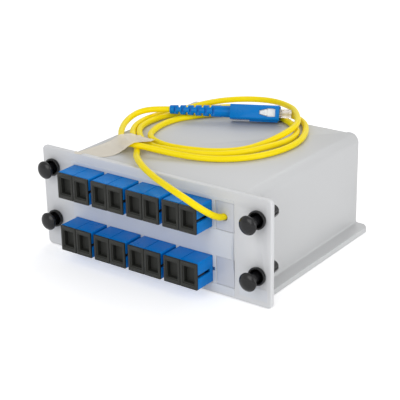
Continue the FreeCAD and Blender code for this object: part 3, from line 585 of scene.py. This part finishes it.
# %% Boot
plug_tail = Vector((-39.4, 17.2, 54.9))
plug_nose = Vector((10.2, 42.3, 54.5))
plug_roll = -22.0
axis = plug_nose - plug_tail
plug_length = axis.length
on_plug = (Matrix.Translation(plug_tail * MM)
           @ Matrix.Rotation(math.atan2(axis.y, axis.x), 4, "Z")
           @ Matrix.Rotation(math.asin(-axis.z / plug_length), 4, "Y")
           @ Matrix.Rotation(math.radians(plug_roll), 4, "X") @ Matrix.Scale(MM, 4))
boot_length, neck_length = 26.0, 7.0
slot_width, slot_depth, slot_wall, first_slot, slot_pitch = 1.2, 1.2, 0.12, 2.2, 3.93
most_slots, whole_end = 11, 1.0
boot_outline = np.array([(0, 1.95), (0.25, 2.2), (boot_length, 3.0), (boot_length + 0.5, 2.8),
                         (boot_length + neck_length, 3.1)])


def boot_points(rows=260, columns=64):
    """Radius of the cone, cut to a flat inside each slot; slots on the sides and on the top
    and bottom take turns."""
    whole = boot_length + neck_length
    place = np.linspace(0, whole, rows)[:, None]
    angle = 2 * np.pi * np.arange(columns)[None, :] / columns
    radius = np.interp(place, *boot_outline.T) + 0 * angle
    for n in range(most_slots):
        start = first_slot + n / 2 * slot_pitch
        if start + slot_width > boot_length - whole_end:
            break
        off_middle = np.abs(place - start - slot_width / 2)
        inside = np.clip((slot_width / 2 - off_middle) / slot_wall, 0, 1)
        turn = np.abs(np.sin(angle) if n % 2 else np.cos(angle))
        flat = (radius - slot_depth) / np.maximum(turn, 0.05)
        radius = radius - inside * np.maximum(radius - flat, 0)
    points = np.stack([place + 0 * angle, radius * np.cos(angle), radius * np.sin(angle)], -1)
    ends = [np.array([[x, 0, 0]]).repeat(columns, 0)[None] for x in (0, whole)]
    return np.vstack([ends[0], points, ends[1]])


points = boot_points()
mesh = closed_mesh("plug_boot_slotted", moved(points, on_plug),
                   grid_quads(*points.shape[:2], True), sharp=35)
boot = put(bpy.data.objects.new("plug_boot_slotted", mesh), "housing", "adapter_blue",
           "plug_boot")
print("boot faces:", len(mesh.polygons))

# %% [markdown]
# A clear cap keeps dust off the ceramic ferrule. It is a cup with a closed, rounded end and
# a wall that the light has to pass twice, so its profile runs round the outside and back
# through the bore, and its finish lets most of the light through.

# %% Ferrule cap
cap_from, cap_to, bore_end, bore, cap_radius = -3.0, 6.0, 1.3, 1.27, 2.2
cap_profile = [(cap_from, bore, 0), (cap_from, cap_radius - 0.1, 0.15),
               (cap_to - 1.1, cap_radius, 0.3), (cap_to - 0.1, cap_radius - 0.5, 0.4),
               (cap_to, 0.0, 0), (bore_end, 0.0, 0), (bore_end, bore, 0), (cap_from, bore, 0)]
points = turned(smooth_profile(cap_profile), 40) + np.array([plug_length, 0, 0])
mesh = closed_mesh("ferrule_cap_clear", moved(points, on_plug),
                   grid_quads(*points.shape[:2], True))
ferrule_cap = put(bpy.data.objects.new("ferrule_cap_clear", mesh), "housing", "cap_clear",
                  "plug_dust_cap")
print("cap faces:", len(mesh.polygons))

# %% [markdown]
# In each side window of the blue grip the white inner frame shows: a ramp that rises
# towards the front, two raised bands across it, and a flat tongue beyond it, so that the
# grip can be drawn back over it. A ramp is a box whose sections change along its length,
# so a short list of stations is enough: how far along, how high, how far out.

# %% White ramps in the side windows
window_back, ramp_front, tongue_front = plug_length - np.array([9.8, 3.7, 0.9])
frame_side, ramp_root, ramp_draft = 3.7, 0.4, 0.9
tongue_depth, tongue_half, tongue_lap = 0.5, 1.9, 0.1
ramp_stations = np.array([
    [0.0, 0.8, 0.10], [1.9, 1.25, 0.55], [2.0, 1.25, 0.35], [2.6, 1.4, 0.38], [2.65, 1.55, 0.72],
    [3.5, 1.65, 0.72], [3.55, 1.6, 0.42], [4.2, 1.7, 0.42], [4.25, 1.75, 0.74], [5.3, 1.8, 0.74],
    [5.35, 1.75, 0.45], [6.1, 1.8, 0.45]])


def capped(sections):
    """The sections with one more at each end, whose points all lie at its middle."""
    ends = sections[[0, -1]].mean(axis=1, keepdims=True).repeat(4, 1)
    return np.vstack([ends[:1], sections, ends[1:]])


def ramp_points():
    """Sections along X, one a station: half height and rise over the frame's side give the
    four corners; the first and the last section close on their middles."""
    place, half, rise = ramp_stations.T
    place = window_back + place
    root = 0 * rise - ramp_root
    corners_y = np.stack([root, rise, rise, root], 1) + frame_side
    corners_z = half[:, None] * np.array([-1, -ramp_draft, ramp_draft, 1])
    return capped(np.stack([place[:, None] + 0 * corners_y, corners_y, corners_z], -1))


def tongue_points():
    """Two equal sections along X, half tongue_half high and tongue_depth thick, closed on
    their middles."""
    place = np.array([ramp_front - tongue_lap, tongue_front])[:, None]
    corners_y = frame_side - tongue_depth * np.array([1, 0, 0, 1]) + 0 * place
    corners_z = tongue_half * np.array([-1, -1, 1, 1]) + 0 * place
    return capped(np.stack([place + 0 * corners_y, corners_y, corners_z], -1))


ramp, tongue = ramp_points(), tongue_points()
half_turn = np.array([1, -1, -1])
shapes = (ramp, tongue, ramp * half_turn, tongue * half_turn)
first = np.cumsum([0] + [len(shape) * 4 for shape in shapes[:-1]])
mesh = closed_mesh(
    "plug_window_ramps",
    moved(np.vstack([shape.reshape(-1, 3) for shape in shapes]), on_plug),
    np.vstack([grid_quads(len(shape), 4, True) + n for shape, n in zip(shapes, first)]),
    sharp=20)
window_ramps = put(bpy.data.objects.new("plug_window_ramps", mesh), "housing", "plug_white")
print("window ramp faces:", len(mesh.polygons))

# %% [markdown]
# A strip of paper tape ties the turns and runs down to the panel, where its torn end is
# stuck over the edge. A cloth simulation could lay it, but its outline has to come out as
# it is. So it is one thin sheet between two edges: a list of stations gives the left and
# the right end of each line across it, the lines between are interpolated and softened,
# and then each point is lifted on to the strand below it.

# %% Tape
tape_thickness, tape_wave, tape_sag, torn_edge, fades_over = 0.1, 0.10, 0.3, 0.35, 12
tape_stations = np.array([
    [(-36.0, -18.2, 52.8), (-20.6, -19.4, 52.8)], [(-36.2, -22.0, 53.7), (-18.9, -25.0, 54.0)],
    [(-36.4, -25.6, 54.3), (-19.2, -31.0, 55.5)], [(-36.9, -26.8, 54.1), (-20.2, -35.6, 56.2)],
    [(-38.6, -27.3, 52.7), (-22.2, -36.6, 54.8)], [(-41.0, -28.6, 51.0), (-25.5, -35.8, 52.2)],
    [(-43.6, -31.8, 49.7), (-28.0, -36.9, 50.2)], [(-45.4, -38.4, 49.4), (-29.4, -40.4, 49.4)],
    [(-46.0, -42.8, 49.4), (-31.4, -44.0, 49.4)], [(-46.2, -46.4, 49.7), (-35.0, -47.0, 49.7)],
    [(-45.2, -48.2, 51.0), (-40.4, -48.6, 51.0)], [(-44.6, -50.2, 51.0), (-40.2, -50.25, 51.0)],
    [(-44.2, -50.45, 50.2), (-40.8, -50.4, 50.5)]])


def tape_points(rows=110, columns=26):
    """Left edge plus w times the way to the right edge, by stations interpolated along the
    strip and smoothed by a running mean, with a small wave and ragged first and last lines."""
    middle_line = tape_stations.mean(axis=1)
    step = np.linalg.norm(np.diff(middle_line, axis=0), axis=1)
    station = np.concatenate([[0], np.cumsum(step)])
    s = np.linspace(0, station[-1], rows)
    kernel = np.array([1, 2, 3, 2, 1]) / 9
    sides = np.empty((2, rows, 3))
    for side in range(2):
        for k in range(3):
            edge = np.interp(s, station, tape_stations[:, side, k])
            sides[side, :, k] = np.convolve(np.pad(edge, 2, mode="edge"), kernel, mode="valid")
    w = np.linspace(0, 1, columns)[None, :, None]
    points = sides[0][:, None, :] * (1 - w) + sides[1][:, None, :] * w
    s, w = s[:, None], w[..., 0]
    over_strands = np.clip(1 - s / fades_over, 0, 1)
    points[..., 2] += tape_wave * np.sin(s * 1.3 + w * 6) * over_strands
    points[..., 2] -= tape_sag * over_strands * (w * (1 - w))
    ragged = np.random.default_rng(3).normal(0, torn_edge, (2, columns))
    points[0, :, 1] += ragged[0]
    points[-1, :, 2] += ragged[1] * 0.6
    return points * MM, float(station[-1])


def draped(points, air=0.14, passes=3):
    """Each height becomes at least that of the round strand below it, the strand's centre
    plus the root of its radius squared less the distance squared. Running means of the
    four neighbours then soften the folds, and never lower a point."""
    reach = (jacket / 2 + air) * MM
    away = np.linalg.norm(points[:, :, None, :2] - cable_line[None, None, :, :2], axis=-1)
    crown = cable_line[:, 2] + np.sqrt(np.clip(reach ** 2 - away ** 2, 0, None))
    crown = np.where(away < reach, crown, -1.0).max(axis=-1)
    height = np.maximum(points[..., 2], crown)
    for _ in range(passes):
        wide = np.pad(height, 1, mode="edge")
        mean = (wide[:-2, 1:-1] + wide[2:, 1:-1] + wide[1:-1, :-2] + wide[1:-1, 2:]) / 4
        height = np.maximum(mean, height)
    return np.dstack([points[..., :2], height])


points, tape_length = tape_points()
tape = put(thin_sheet("coil_tape_strip", draped(points), tape_thickness), "housing",
           "tape_beige", "coil_tape")
print("tape length:", round(tape_length, 1))

# %% [markdown]
# Now that the plug, its cap and the tape are there, the cable gets its finish and rides on
# the housing, and the imported lead, coil and tail are hidden.

# %% The cable
put(line, "housing", "fibre_yellow", "pigtail_lead", "pigtail_coil", "pigtail_tail")
print("cable laid")

# %% [markdown]
# The object stands on a pale floor in a white room. More light would bleach the object, so
# the white comes from what the camera sees: to its rays, and to those that metal and clear
# plastic send on, the world has full strength and the floor glows a little.

# %% Floor and world
floor_reach, floor_level, floor_glow, ambient = 3.0, -0.0002, 0.45, 0.45


def straight_rays(wire):
    """1 for a ray that the camera sees, directly, mirrored or through clear plastic."""
    seen, mirrored, through = (wire.node("ShaderNodeLightPath", output=f"Is {kind} Ray")
                               for kind in ("Camera", "Glossy", "Transmission"))
    return seen + mirrored + through


floor_mesh = bpy.data.meshes.new("floor")
floor_corners = floor_reach * np.array([(-1, -1, 0), (1, -1, 0), (1, 1, 0), (-1, 1, 0)])
floor_mesh.from_pydata((floor_corners + (0, 0, floor_level)).tolist(), [], [(0, 1, 2, 3)])
floor = bpy.data.objects.new("floor", floor_mesh)
bpy.context.scene.collection.objects.link(floor)
floor_material, start = blank_material("floor_white")
dress(floor_material, Base_Color=linear(236, 236, 237), Roughness=0.7)
matt = Wire(start.tree, start.tree.nodes["Principled BSDF"].outputs[0])
glow = start.node("ShaderNodeEmission", None, {"Color": (1, 1, 1, 1), "Strength": floor_glow})
both = start.node("ShaderNodeAddShader", None, {0: matt, 1: glow})
chosen = start.node("ShaderNodeMixShader", None, {0: straight_rays(start), 1: matt, 2: both})
floor_material.node_tree.links.new(
    chosen.socket, floor_material.node_tree.nodes["Material Output"].inputs["Surface"])
floor_mesh.materials.append(floor_material)

world = bpy.data.worlds.new("studio")
world.use_nodes = True
bpy.context.scene.world = world
strength = ambient + straight_rays(Wire(world.node_tree)) * (1 - ambient)
background = world.node_tree.nodes["Background"]
background.inputs["Color"].default_value = (1, 1, 1, 1)
world.node_tree.links.new(strength.socket, background.inputs["Strength"])
print("floor and world made")

# %% [markdown]
# Three large soft lamps give the shapes their shading: one high behind, which throws short
# shadows forwards, one at the right for the side of the box, and one in front for the panel.


# %% Lamps
def lamp(name, place, target, power, size):
    """A square area lamp at a place, turned to a target, in metres and watts."""
    data = bpy.data.lights.new(name, "AREA")
    data.energy, data.size = power, size
    made = bpy.data.objects.new(name, data)
    made.location = place
    made.rotation_euler = (Vector(target) - Vector(place)).to_track_quat("-Z", "Y").to_euler()
    bpy.context.scene.collection.objects.link(made)
    return made


middle = (0.0, 0.0, 0.03)
lamp("high_back", (-0.15, 0.55, 0.75), middle, 1.8, 0.5)
lamp("right_side", (0.95, -0.05, 0.35), middle, 3.5, 0.6)
lamp("front_fill", (0.10, -0.92, 0.50), middle, 3.7, 0.7)
bpy.context.scene.view_settings.view_transform = "Standard"
print("lamps: 3")
